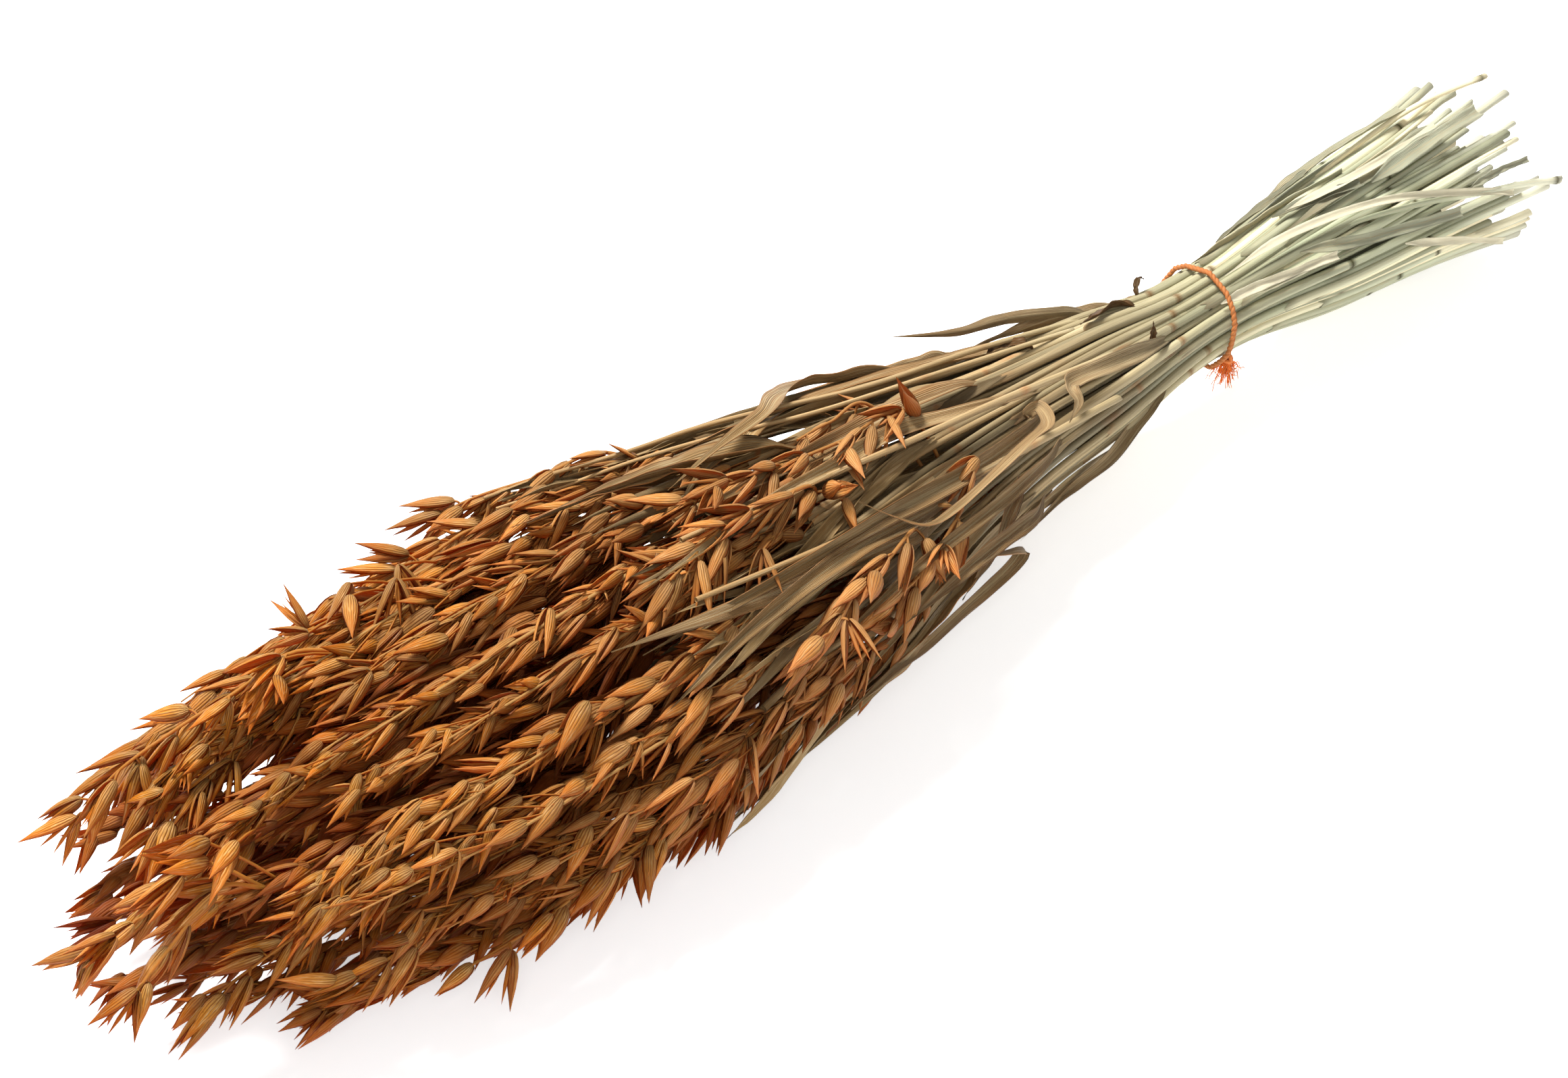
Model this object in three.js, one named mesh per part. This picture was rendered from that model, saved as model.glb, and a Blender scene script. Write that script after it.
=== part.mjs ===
// A tied bundle of dried oat straw, lying on its side.
// Millimetres, +Z up. The bundle lies along X: seed heads towards -X, cut ends towards +X.
// Every stalk is one solid that carries its culm and, on its head end, the closed spindle
// that its spikelets fill out to their tips.
import * as THREE from 'three';

// ---------------------------------------------------------------- driving dimensions

const SEED = 41;
const GAP = 0.5; // clear space between neighbouring pieces

// Section of the whole bundle: place along X, centre, half width and half height. The bundle
// bows a little sideways, and is heavy enough to lie flat on its underside.
const SECTIONS = [
  { x: -500, y: -2, z: 37, a: 52, b: 38 },
  { x: -450, y: -6, z: 41, a: 64, b: 48 },
  { x: -380, y: -9, z: 46, a: 74, b: 56 },
  { x: -300, y: -10, z: 47, a: 75, b: 58 },
  { x: -230, y: -7, z: 46, a: 64, b: 53 },
  { x: -160, y: -4, z: 46, a: 45, b: 41 },
  { x: -90, y: -1, z: 44, a: 30, b: 29 },
  { x: -10, y: 2, z: 42, a: 18.6, b: 18.6 },
  { x: 10, y: 3, z: 42, a: 18.6, b: 18.6 },
  { x: 90, y: 8, z: 38, a: 29, b: 28 },
  { x: 200, y: 15, z: 33, a: 46, b: 42 },
];

// Stations where every stalk's centre is worked out: 40 mm apart in the heads, wider apart
// along the bare straw, and close together under the tie.
const STATIONS = [];
for (let x = -490; x < -210; x += 40) STATIONS.push(x);
for (let x = -210; x < -10; x += 50) STATIONS.push(x);
for (let x = 10; x <= 190; x += 60) STATIONS.push(x);
STATIONS.splice(STATIONS.indexOf(10), 0, -10);

// Rings of stalks at the tied waist, from the middle outwards, and the turn of each ring
// along the bundle, in degrees for each 100 mm.
const RINGS = [
  { count: 3, radius: 2.7, turn: 6 },
  { count: 9, radius: 7.3, turn: -5 },
  { count: 15, radius: 11.9, turn: 4 },
  { count: 21, radius: 16.5, turn: -3 },
];
const CULM = { root: 2.1, waist: 2.0, neck: 1.3 }; // culm radius along a stalk
const PANICLE = { length: [165, 215], radius: [7.6, 9.2], tip: 1.2 };
const CUT_END = [140, 184]; // spread of the cut ends along X
const HEAD_TIP = [-500, -335]; // spread of the head tips along X
const TIP_ROUNDING = 45; // how far the tips of the outermost stalks fall back
const STALK_SIDES = 6;

const LEAF_THICKNESS = 0.9;
const LEAF_CLEARANCE = 0.8;
const LEAF_STEPS = 8;
// Blades that lie on the outside of the bundle: their ends along X, the side that they lie
// on in degrees at each end (0 is +Y, 90 is the top) and their greatest width.
const LEAVES = [
  { from: -178, to: -260, side: [52, 94], width: 10 },
  { from: -240, to: -312, side: [76, 69], width: 12 },
  { from: -112, to: -168, side: [50, 45], width: 8 },
  { from: -34, to: -104, side: [52, 48], width: 8 },
  { from: -175, to: -318, side: [150, 129], width: 12 },
  { from: -150, to: -242, side: [200, 184], width: 10 },
  { from: -62, to: -138, side: [208, 191], width: 8 },
  { from: -80, to: -250, side: [12, 22], width: 11 },
  { from: -45, to: -190, side: [-22, -14], width: 10 },
  { from: 40, to: 138, side: [104, 98], width: 9 },
];

const TIE = { cord: 1.2, gap: 0.5, lean: 10, sides: 6, steps: 28 };
const KNOT = { side: 212, length: 9, width: 6, drop: 10 };

// ------------------------------------------------------------------- small helpers

let seed = SEED;
function random(low = 0, high = 1) {
  seed = (Math.imul(seed, 1664525) + 1013904223) >>> 0;
  return low + ((high - low) * seed) / 4294967296;
}

const radians = THREE.MathUtils.degToRad;
const lerp = THREE.MathUtils.lerp;
const clamp = THREE.MathUtils.clamp;

function sectionAt(x) {
  const last = SECTIONS.length - 1;
  const k = clamp(SECTIONS.findIndex((s) => s.x > x), 1, last);
  const from = SECTIONS[k - 1];
  const to = x >= SECTIONS[last].x ? SECTIONS[last] : SECTIONS[k];
  const t = clamp((x - from.x) / (to.x - from.x), 0, 1);
  const ease = t * t * (3 - 2 * t);
  return {
    y: lerp(from.y, to.y, ease),
    z: lerp(from.z, to.z, ease),
    a: lerp(from.a, to.a, ease),
    b: lerp(from.b, to.b, ease),
  };
}

// -------------------------------------------------------------------------- stalks

function makeStalks() {
  const stalks = [];
  const outer = RINGS[RINGS.length - 1].radius + CULM.waist;
  for (const ring of RINGS) {
    for (let i = 0; i < ring.count; i++) {
      const order = (i + 0.5 + random(-0.12, 0.12)) / ring.count;
      const share = ring.radius / outer;
      const longest = HEAD_TIP[0] + TIP_ROUNDING * share ** 2;
      stalks.push({
        ring,
        angle: order * 360,
        share,
        cut: random(...CUT_END),
        tip: lerp(longest, HEAD_TIP[1], random() ** 1.5),
        panicle: random(...PANICLE.length),
        bulk: random(...PANICLE.radius),
        sway: random(-1, 1),
      });
    }
  }
  return stalks;
}

// Radius of a stalk at x: its culm, then the spindle of its panicle.
function stalkRadius(stalk, x) {
  const neck = stalk.tip + stalk.panicle;
  if (x > 0) return lerp(CULM.waist, CULM.root, clamp(x / stalk.cut, 0, 1));
  if (x > neck) return lerp(CULM.waist, CULM.neck, x / neck);
  const t = clamp((neck - x) / stalk.panicle, 0, 1);
  const swell = Math.sin(Math.PI * t ** 0.85) ** 0.7;
  return Math.max(stalk.bulk * swell, lerp(CULM.neck, PANICLE.tip, t));
}

// Where a stalk would lie if it only followed the shape of the bundle.
function stalkTarget(stalk, x) {
  const section = sectionAt(x);
  const turn = (stalk.ring.turn * x) / 100;
  const drift = stalk.sway * 0.03 * Math.min(Math.abs(x), 300);
  const angle = radians(stalk.angle + turn + drift);
  const room = stalk.share * (1 + CULM.waist / section.a) - CULM.waist / section.a;
  return {
    y: section.y + section.a * room * Math.cos(angle),
    z: section.z + section.b * room * Math.sin(angle),
  };
}

const FLAT = Math.cos(Math.PI / STALK_SIDES); // distance to a side over distance to a corner

// Pushes the stalks of one station apart, keeps them in the bundle and off the floor.
function settle(stalks, k) {
  const x = STATIONS[k];
  const section = sectionAt(x);
  for (const stalk of stalks) {
    const p = stalk.path[k];
    const r = stalk.radii[k];
    const dy = (p.y - section.y) / (section.a - r);
    const dz = (p.z - section.z) / (section.b - r);
    const out = Math.hypot(dy, dz);
    if (out > 1) {
      p.y = lerp(p.y, section.y + (p.y - section.y) / out, 0.3);
      p.z = lerp(p.z, section.z + (p.z - section.z) / out, 0.3);
    }
    p.z = Math.max(p.z, r * FLAT);
  }
  for (let i = 0; i < stalks.length; i++) {
    for (let j = i + 1; j < stalks.length; j++) {
      const p = stalks[i].path[k];
      const q = stalks[j].path[k];
      const reach = stalks[i].radii[k] + stalks[j].radii[k] + GAP;
      const dy = q.y - p.y;
      const dz = q.z - p.z;
      const distance = Math.hypot(dy, dz) || 1e-6;
      if (distance >= reach) continue;
      const push = (0.5 * (reach - distance)) / distance;
      p.y -= dy * push;
      p.z -= dz * push;
      q.y += dy * push;
      q.z += dz * push;
    }
  }
}

function layStalks(stalks) {
  for (const stalk of stalks) {
    stalk.target = STATIONS.map((x) => stalkTarget(stalk, x));
    stalk.path = stalk.target.map((p) => ({ ...p }));
    stalk.radii = STATIONS.map((x) => stalkRadius(stalk, clamp(x, stalk.tip, stalk.cut)));
  }
  const easing = 260;
  const closing = 240;
  for (let pass = 0; pass < easing + closing; pass++) {
    for (let k = 0; k < STATIONS.length; k++) {
      if (pass < easing && k > 0 && k < STATIONS.length - 1) {
        for (const { path, target } of stalks) {
          for (const c of ['y', 'z']) {
            const beside = path[k - 1][c] - target[k - 1][c] + path[k + 1][c] - target[k + 1][c];
            const mean = target[k][c] + beside / 2;
            path[k][c] = lerp(path[k][c], mean, 0.25);
          }
        }
      }
      settle(stalks, k);
    }
  }
}

// Centre and radius of a stalk at any x, straight between the stations.
function stalkAt(stalk, x) {
  const k = clamp(STATIONS.findIndex((s) => s > x), 1, STATIONS.length - 1);
  const t = clamp((x - STATIONS[k - 1]) / (STATIONS[k] - STATIONS[k - 1]), 0, 1);
  return {
    y: lerp(stalk.path[k - 1].y, stalk.path[k].y, t),
    z: lerp(stalk.path[k - 1].z, stalk.path[k].z, t),
    r: lerp(stalk.radii[k - 1], stalk.radii[k], t),
  };
}

// A turned solid along X whose rings are then slid sideways onto the stalk's path.
function stalkGeometry(stalk) {
  const margin = 6;
  const inner = STATIONS.filter((x) => x > stalk.tip + margin && x < stalk.cut - margin);
  const places = [stalk.tip, ...inner, stalk.cut];
  const profile = [new THREE.Vector2(0, places[0])];
  for (const x of places) {
    const r = x === stalk.tip ? PANICLE.tip : stalkAt(stalk, x).r;
    profile.push(new THREE.Vector2(r, x));
  }
  profile.push(new THREE.Vector2(0, places[places.length - 1]));
  const geometry = new THREE.LatheGeometry(profile, STALK_SIDES, Math.PI / STALK_SIDES);
  geometry.rotateZ(-Math.PI / 2);
  const position = geometry.attributes.position;
  for (let i = 0; i < position.count; i++) {
    const centre = stalkAt(stalk, position.getX(i));
    position.setY(i, position.getY(i) + centre.y);
    position.setZ(i, position.getZ(i) + centre.z);
  }
  return geometry;
}

// -------------------------------------------------------------------------- leaves

// Distance from the bundle's centre line to a flat strip that rests on the stalks.
function support(stalks, x, angle, width) {
  const { y, z } = sectionAt(x);
  const out = { y: Math.cos(angle), z: Math.sin(angle) };
  let height = 0;
  for (const stalk of stalks) {
    if (x < stalk.tip - 1 || x > stalk.cut + 1) continue;
    const centre = stalkAt(stalk, x);
    const dy = centre.y - y;
    const dz = centre.z - z;
    const across = Math.abs(-dy * out.z + dz * out.y);
    if (across > width / 2 + centre.r + GAP) continue;
    height = Math.max(height, dy * out.y + dz * out.z + centre.r);
  }
  return height;
}

function leafGeometry(stalks, leaf) {
  const geometry = new THREE.BoxGeometry(1, 1, 1, LEAF_STEPS, 1, 1);
  const position = geometry.attributes.position;
  const hand = Math.sign(leaf.from - leaf.to);
  const rows = new Map();
  for (let i = 0; i < position.count; i++) {
    const t = position.getX(i) + 0.5;
    const x = lerp(leaf.from, leaf.to, t);
    const angle = radians(lerp(...leaf.side, t));
    const width = leaf.width * (0.25 + 0.75 * Math.sin(Math.PI * clamp(t, 0.04, 0.96)) ** 0.6);
    const key = t.toFixed(4);
    if (!rows.has(key)) {
      const step = Math.abs(leaf.to - leaf.from) / LEAF_STEPS / 2;
      const near = [x - step, x, x + step].map((s) => support(stalks, s, angle, leaf.width));
      rows.set(key, Math.max(...near) + LEAF_CLEARANCE + LEAF_THICKNESS / 2);
    }
    const out = rows.get(key) + position.getZ(i) * LEAF_THICKNESS;
    const side = position.getY(i) * width * hand;
    const { y, z } = sectionAt(x);
    position.setXYZ(
      i,
      x,
      y + out * Math.cos(angle) - side * Math.sin(angle),
      z + out * Math.sin(angle) + side * Math.cos(angle),
    );
  }
  return geometry;
}

// ----------------------------------------------------------------------------- tie

function waistRadius(stalks) {
  let reach = 0;
  for (const x of [-10, 10]) {
    for (const stalk of stalks) {
      const centre = stalkAt(stalk, x);
      const { y, z } = sectionAt(0);
      reach = Math.max(reach, Math.hypot(centre.y - y, centre.z - z) + centre.r);
    }
  }
  return reach;
}

function tieGeometry(radius) {
  const ring = new THREE.TorusGeometry(radius, TIE.cord, TIE.sides, TIE.steps);
  ring.rotateY(Math.PI / 2);
  ring.rotateY(radians(TIE.lean));
  return ring;
}

function knotGeometry() {
  const { length, width, drop } = KNOT;
  const knot = new THREE.SphereGeometry(0.5, 8, 6);
  knot.scale(width, length, drop);
  return knot;
}

// -------------------------------------------------------------------------- bundle

const straw = new THREE.MeshStandardMaterial({ color: 0xa87a42, roughness: 0.75 });
const leafSkin = new THREE.MeshStandardMaterial({ color: 0x7d6640, roughness: 0.8 });
const twine = new THREE.MeshStandardMaterial({ color: 0xc9682a, roughness: 0.85 });

const bundle = new THREE.Group();

function addPiece(name, geometry, material) {
  const mesh = new THREE.Mesh(geometry, material);
  mesh.name = name;
  bundle.add(mesh);
  return mesh;
}

const twoDigits = (n) => String(n).padStart(2, '0');

const stalks = makeStalks();
layStalks(stalks);
stalks.forEach((stalk, i) => {
  addPiece(`stalk_${twoDigits(i + 1)}`, stalkGeometry(stalk), straw.clone());
});
LEAVES.forEach((leaf, i) => {
  addPiece(`leaf_${twoDigits(i + 1)}`, leafGeometry(stalks, leaf), leafSkin.clone());
});

const waist = waistRadius(stalks) + TIE.gap + TIE.cord;
const tie = addPiece('tie_cord', tieGeometry(waist), twine);
const waistCentre = new THREE.Vector3(0, sectionAt(0).y, sectionAt(0).z);
tie.position.copy(waistCentre);

const knotSide = radians(KNOT.side);
const knotReach = waist + TIE.cord + GAP + KNOT.length / 2;
const knot = addPiece('tie_knot', knotGeometry(), twine.clone());
knot.position.set(0, Math.cos(knotSide), Math.sin(knotSide)).multiplyScalar(knotReach);
knot.position.add(waistCentre);

// The origin is the middle of the bundle's footprint, on the surface that it lies on.
bundle.updateMatrixWorld(true);
const box = new THREE.Box3().setFromObject(bundle);
const middle = box.getCenter(new THREE.Vector3());
bundle.position.set(-middle.x, -middle.y, -box.min.z);

export default bundle;
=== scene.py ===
import math

import bpy
import numpy as np
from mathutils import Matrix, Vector


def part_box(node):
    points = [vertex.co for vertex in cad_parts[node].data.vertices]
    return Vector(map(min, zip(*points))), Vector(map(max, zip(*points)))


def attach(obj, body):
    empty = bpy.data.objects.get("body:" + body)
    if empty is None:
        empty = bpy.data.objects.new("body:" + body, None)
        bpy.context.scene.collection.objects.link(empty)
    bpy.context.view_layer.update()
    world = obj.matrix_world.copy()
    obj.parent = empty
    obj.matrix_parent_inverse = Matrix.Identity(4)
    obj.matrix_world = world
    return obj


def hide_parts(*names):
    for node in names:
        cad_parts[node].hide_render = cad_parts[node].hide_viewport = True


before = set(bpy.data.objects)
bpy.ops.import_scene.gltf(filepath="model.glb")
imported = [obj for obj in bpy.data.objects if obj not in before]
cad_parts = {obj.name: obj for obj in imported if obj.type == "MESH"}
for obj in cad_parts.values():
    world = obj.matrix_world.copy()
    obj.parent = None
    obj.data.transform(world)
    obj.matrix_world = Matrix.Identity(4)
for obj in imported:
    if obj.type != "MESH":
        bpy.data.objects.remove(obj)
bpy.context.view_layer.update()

MM = 0.001
SEED = 7

# ---- driving values
# Lengths are in millimetres here and turned into metres where the meshes are made.

# Fitted to the photo. The angles are in degrees.
CAMERA = {
    "azimuth": -40.0,
    "elevation": 41.0,
    "distance": 1064.7,
    "target": (-50.9, 11.2, 45.0),
    "lens": 70.3,
    "sensor": 36.0,
}

SPIKELET = {"length": (18.0, 23.5), "width": 3.1, "depth": 2.4}
SPIKELETS_PER_STALK = {"inner": 36, "middle": 44, "outer": 56}
BLADES_PER_STALK = {"inner": 1, "middle": 2, "outer": 2}
CULM_SIDES = 9
LIP_ROWS = 4  # rows of a straw's inner wall that show in its hollow cut end
NODE_ROWS = np.array([-3.6, -2.4, -1.2, 0, 1.2, 2.4, 3.6])  # rows of points round a node's swelling
CULM_GIRTH = 0.82  # a straw as a share of its solid, whose sides also take in the leaf sheaths
CULM_RADIUS = (1.0, 2.1)
BLADE_END = -142.0  # no blade that grows on a stalk reaches further towards the heads
CUT_END, HEAD_END = 338.0, -338.0
LOWEST = 0.05  # the height of the lowest points, just off the floor
LAYERS = (("inner", 0.45), ("middle", 0.68), ("outer", math.inf))  # how far out, by the waist's half width
GOLDEN_ANGLE = math.radians(137.5)

# Loose branches of panicles, each from its stem outwards: a route, a number of spikelets and their size.
SPRAYS = (
    (((-240, 24, 95), (-262, 21, 94), (-281, 22, 91), (-303, 24, 84), (-318, 27, 70)), 14, 1.0),
    (((-300, -26, 72), (-322, -32, 66), (-336, -35, 60)), 6, 1.0),
    (((-300, -18, 76), (-320, -22, 74), (-336, -21, 70), (-344, -17, 66)), 8, 1.0),
    (((-60, -54, 54), (-93, -61, 50), (-120, -63, 46), (-150, -65, 40), (-176, -67, 34)), 20, 0.95),
    (((-120, -60, 46), (-150, -64, 43), (-182, -66, 37), (-208, -64, 30)), 14, 0.95),
    (((-190, -66, 36), (-214, -66, 30), (-238, -62, 24)), 8, 1.0),
    (((-240, -56, 42), (-256, -54, 38), (-268, -50, 32), (-278, -46, 26)), 7, 1.0),
    (((-104, 46, 90), (-125, 48, 90), (-145, 56, 87), (-158, 62, 82)), 10, 0.95),
    (((-160, 41, 90), (-180, 41, 87), (-200, 42, 84)), 9, 0.95),
    (((-60, 56, 50), (-104, 64, 46), (-150, 66, 38)), 12, 0.95),
    (((-170, 62, 50), (-214, 68, 44), (-250, 65, 36)), 10, 1.0),
    (((-12, -36, 67), (-31, -46, 68), (-46, -53, 69), (-58, -56, 69)), 9, 0.95),
    (((-38, -41, 77), (-60, -51, 81), (-75, -55, 82), (-86, -59, 77), (-98, -61, 73)), 11, 0.95),
    (((-10, -6, 91), (-41, -9, 97), (-65, -11, 102), (-87, -9, 104), (-110, -9, 106)), 20, 0.9),
    (((-14, 7, 87), (-35, 6, 92), (-52, 3, 95)), 4, 0.8),
    (((-214, 16, 84), (-244, 18, 82), (-274, 14, 76), (-300, 10, 68)), 18, 1.0),
    (((-220, -6, 70), (-254, -6, 66), (-286, -4, 60), (-316, -2, 54)), 18, 1.0),
    (((-226, -30, 52), (-256, -33, 48), (-284, -32, 42), (-308, -30, 35)), 16, 1.0),
    (((-230, 40, 70), (-260, 38, 66), (-290, 32, 60)), 14, 1.0),
    (((-66, -21, 98), (-91, -23, 102), (-113, -26, 104), (-134, -32, 103)), 17, 1.0),
)

# Spikelets that stand open on the outside: a place, the way they point, how far they gape and their size.
OPEN_SPIKELETS = (
    ((-227, 34, 91), (-0.2, 0.8, 0.6), 30, 0.72),
    ((-229, 30, 93), (-0.8, 0.55, -0.1), 26, 0.78),
    ((-208, 38, 97), (-0.5, -0.3, -0.5), 40, 0.85),
    ((-212, 32, 98), (-0.3, -0.5, -0.5), 54, 0.85),
    ((-198, 26, 101), (-0.4, -0.5, -0.6), 44, 0.85),
    ((-192, 34, 98), (-0.1, -0.6, -0.6), 36, 0.85),
    ((-244, 22, 97), (-0.6, -0.3, 0.2), 32, 1.1),
    ((-250, 14, 98), (-0.5, -0.5, 0.1), 40, 1.05),
    ((-297, -18, 84), (-0.9, 0.1, 0.2), 44, 1.1),
    ((-290, -22, 82), (-0.8, -0.5, -0.1), 38, 1.1),
    ((-112, -22, 101), (-0.4, -0.6, -0.5), 50, 0.9),
    ((-96, -32, 95), (-0.5, -0.6, -0.4), 40, 0.85),
    ((-57, -27, 92), (-0.2, -0.7, -0.6), 26, 0.62),
    ((2, -29, 79), (-0.85, 0.1, -0.4), 36, 0.9),
    ((-3, -32, 78), (-0.75, -0.1, -0.6), 24, 0.85),
)

rng = np.random.default_rng(SEED)


# ---- mesh kit

class Mesher:
    """Gathers grids of points into one mesh. Every grid gets a UV cell of its own and named values."""

    def __init__(self, values):
        self.names = values
        self.points = []
        self.quads = []
        self.corners = []
        self.values = {name: [] for name in values}
        self.count = 0
        self.cells = 0

    def add(self, grid, **values):
        """Adds grids of shape (copies, rows, columns, 3), in millimetres. The last column joins the first."""
        grid = np.asarray(grid, float)
        if grid.ndim == 3:
            grid = grid[None]
        copies, rows, columns, _ = grid.shape
        r, c = np.meshgrid(np.arange(rows - 1), np.arange(columns), indexing="ij")
        r, c = r.ravel(), c.ravel()
        after = (c + 1) % columns
        low, high = r * columns, (r + 1) * columns
        quad = np.stack([low + c, high + c, high + after, low + after], 1)
        start = self.count + np.arange(copies) * rows * columns
        self.quads.append((quad[None] + start[:, None, None]).reshape(-1, 4))
        u = np.stack([c, c, c + 1, c + 1], 1) / columns
        v = np.stack([r, r + 1, r + 1, r], 1) / (rows - 1)
        cell = np.broadcast_to((self.cells + np.arange(copies))[:, None, None], (copies,) + u.shape)
        uv = np.stack([np.broadcast_to(u, cell.shape), np.broadcast_to(v, cell.shape), cell], -1)
        self.corners.append(uv.reshape(-1, 3))
        self.points.append(grid.reshape(-1, 3))
        for name in self.names:
            value = np.asarray(values.get(name, 0.0), float)
            self.values[name].append(np.broadcast_to(value, (copies, rows, columns)).reshape(-1))
        self.count += copies * rows * columns
        self.cells += copies

    def build(self, name, material):
        """Makes one object of everything that was gathered, in metres, riding on the root."""
        points = np.concatenate(self.points)
        points[:, 2] = np.maximum(points[:, 2], LOWEST)
        quads = np.concatenate(self.quads)
        mesh = bpy.data.meshes.new(name)
        mesh.vertices.add(len(points))
        mesh.vertices.foreach_set("co", (points * MM).astype(np.float32).ravel())
        mesh.loops.add(quads.size)
        mesh.loops.foreach_set("vertex_index", quads.astype(np.int32).ravel())
        mesh.polygons.add(len(quads))
        mesh.polygons.foreach_set("loop_start", np.arange(0, quads.size, 4, dtype=np.int32))
        mesh.polygons.foreach_set("loop_total", np.full(len(quads), 4, dtype=np.int32))
        mesh.polygons.foreach_set("use_smooth", np.ones(len(quads), dtype=bool))
        mesh.update()
        values = {value: np.concatenate(self.values[value]) for value in self.names}
        values["reach"] = (CUT_END - points[:, 0]) / (CUT_END - HEAD_END)
        for value, numbers in values.items():
            attribute = mesh.attributes.new(value, "FLOAT", "POINT")
            attribute.data.foreach_set("value", numbers.astype(np.float32))
        corners = np.concatenate(self.corners)
        side = math.ceil(math.sqrt(self.cells))
        margin = 0.06
        local = margin + corners[:, :2] * (1 - 2 * margin)
        place = np.stack([corners[:, 2] % side, corners[:, 2] // side], 1)
        layer = mesh.uv_layers.new(name="OFBake")
        layer.data.foreach_set("uv", ((local + place) / side).astype(np.float32).ravel())
        mesh.validate()
        mesh.materials.append(material)
        piece = bpy.data.objects.new(name, mesh)
        bpy.context.scene.collection.objects.link(piece)
        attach(piece, "root")
        return piece


def unit(v):
    """The given vectors at length 1."""
    return v / np.maximum(np.linalg.norm(v, axis=-1, keepdims=True), 1e-9)


def smooth(xs, ys, x):
    """A smooth curve through the points (xs, ys), read at x."""
    xs, ys, x = np.asarray(xs, float), np.asarray(ys, float), np.asarray(x, float)
    slope = np.gradient(ys, xs)
    k = np.clip(np.searchsorted(xs, x) - 1, 0, len(xs) - 2)
    step = xs[k + 1] - xs[k]
    t = np.clip((x - xs[k]) / step, 0, 1)
    return (
        ys[k] * (1 + 2 * t) * (1 - t) ** 2
        + ys[k + 1] * (3 - 2 * t) * t**2
        + step * (slope[k] * t * (1 - t) ** 2 - slope[k + 1] * (1 - t) * t**2)
    )


def route_path(route, rows):
    """A smooth path of that many points through the places of a route, and how far along it each one is."""
    route = np.asarray(route, float)
    u = np.linspace(0, 1, len(route))
    t = np.linspace(0, 1, rows)
    return np.stack([smooth(u, route[:, k], t) for k in range(3)], 1), t


def round_angles(sides):
    """The angle of each side of a tube."""
    return np.arange(sides) * 2 * np.pi / sides


def round_places(sides):
    """Where each side lies round a tube, from -1 up to 1, as a grid's values."""
    return (np.arange(sides) / sides * 2 - 1)[None, None]


def ring_grid(path, across, over, radius, angle):
    """Rings of points round a path, in the plane of the two directions at each of its points."""
    ring = np.cos(angle)[:, None] * across[..., None, :] + np.sin(angle)[:, None] * over[..., None, :]
    return path[..., None, :] + ring * radius


def tube_grid(path, radius, sides, turn=0.0):
    """A tube of the given radii around a path of points."""
    path = np.asarray(path, float)
    tangent = unit(np.gradient(path, axis=0))
    up = np.array([0.0, 0.0, 1.0])
    across = unit(np.cross(up, tangent))
    over = np.cross(tangent, across)
    radius = np.broadcast_to(radius, len(path))[:, None, None]
    return ring_grid(path, across, over, radius, turn + round_angles(sides))


# ---- stalks, read from the frame

def rings_of(name):
    """The rings of points of a CAD node's solid, each with its x, from the head end to the cut end."""
    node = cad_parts[name]
    points = np.array([node.matrix_world @ v.co for v in node.data.vertices]) / MM
    slack = 0.2
    return [(x, points[np.abs(points[:, 0] - x) < slack]) for x in np.unique(np.round(points[:, 0], 1))]


class Stalk:
    """The centre line and radius of one CAD stalk, read from the rings of its solid."""

    head_radius = 2.6  # where the solid is thicker than this, it is the head and not the straw

    def __init__(self, name):
        self.name = name
        self.x, self.y, self.z, self.r = [], [], [], []
        for x, points in rings_of(name):
            ring = np.unique(np.round(points, 2), axis=0)
            centre = (ring.min(0) + ring.max(0)) / 2
            self.x.append(x)
            self.y.append(centre[1])
            self.z.append(centre[2])
            self.r.append(np.linalg.norm(ring[:, 1:] - centre[1:], axis=1).max())
        thick = np.nonzero(np.array(self.r) > self.head_radius)[0]
        self.tip, self.cut = self.x[0], self.x[-1]
        last = thick[-1]
        self.neck = self.x[last + 1] - 0.25 * (self.x[last + 1] - self.x[last])

    def at(self, x):
        """The centre line at x."""
        return np.stack([x, smooth(self.x, self.y, x), smooth(self.x, self.z, x)], -1)

    def radius(self, x):
        return np.interp(x, self.x, self.r)

    def straw_radius(self, x):
        """The radius of the bare straw at x, where radius gives the solid's."""
        return np.clip(self.radius(x) * CULM_GIRTH, *CULM_RADIUS)


stalks = [Stalk(name) for name in sorted(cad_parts) if name.startswith("stalk_")]
tie_low, tie_high = (np.array(corner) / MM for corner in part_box("tie_cord"))
waist = (tie_low + tie_high) / 2

grid_x = np.arange(-340.0, 341.0, 10.0)


def middle_of(k):
    """The mean of one coordinate of the stalks' centre lines, for each grid_x."""
    return np.array([np.mean([s.at(x)[k] for s in stalks if s.tip <= x <= s.cut] or [0]) for x in grid_x])


centre_y, centre_z = middle_of(1), middle_of(2)


def axis_at(x):
    """The centre line of the bundle at x."""
    x = np.asarray(x, float)
    return np.stack([x, np.interp(x, grid_x, centre_y), np.interp(x, grid_x, centre_z)], -1)


for stalk in stalks:
    offset = stalk.at(waist[0])[1:] - waist[1:]
    share = float(np.hypot(*offset)) / ((tie_high[1] - tie_low[1]) / 2)
    stalk.layer = next(layer for layer, reach in LAYERS if share < reach)

SIDE_STEP = math.radians(5)
SIDES = np.arange(72) * SIDE_STEP


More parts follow.
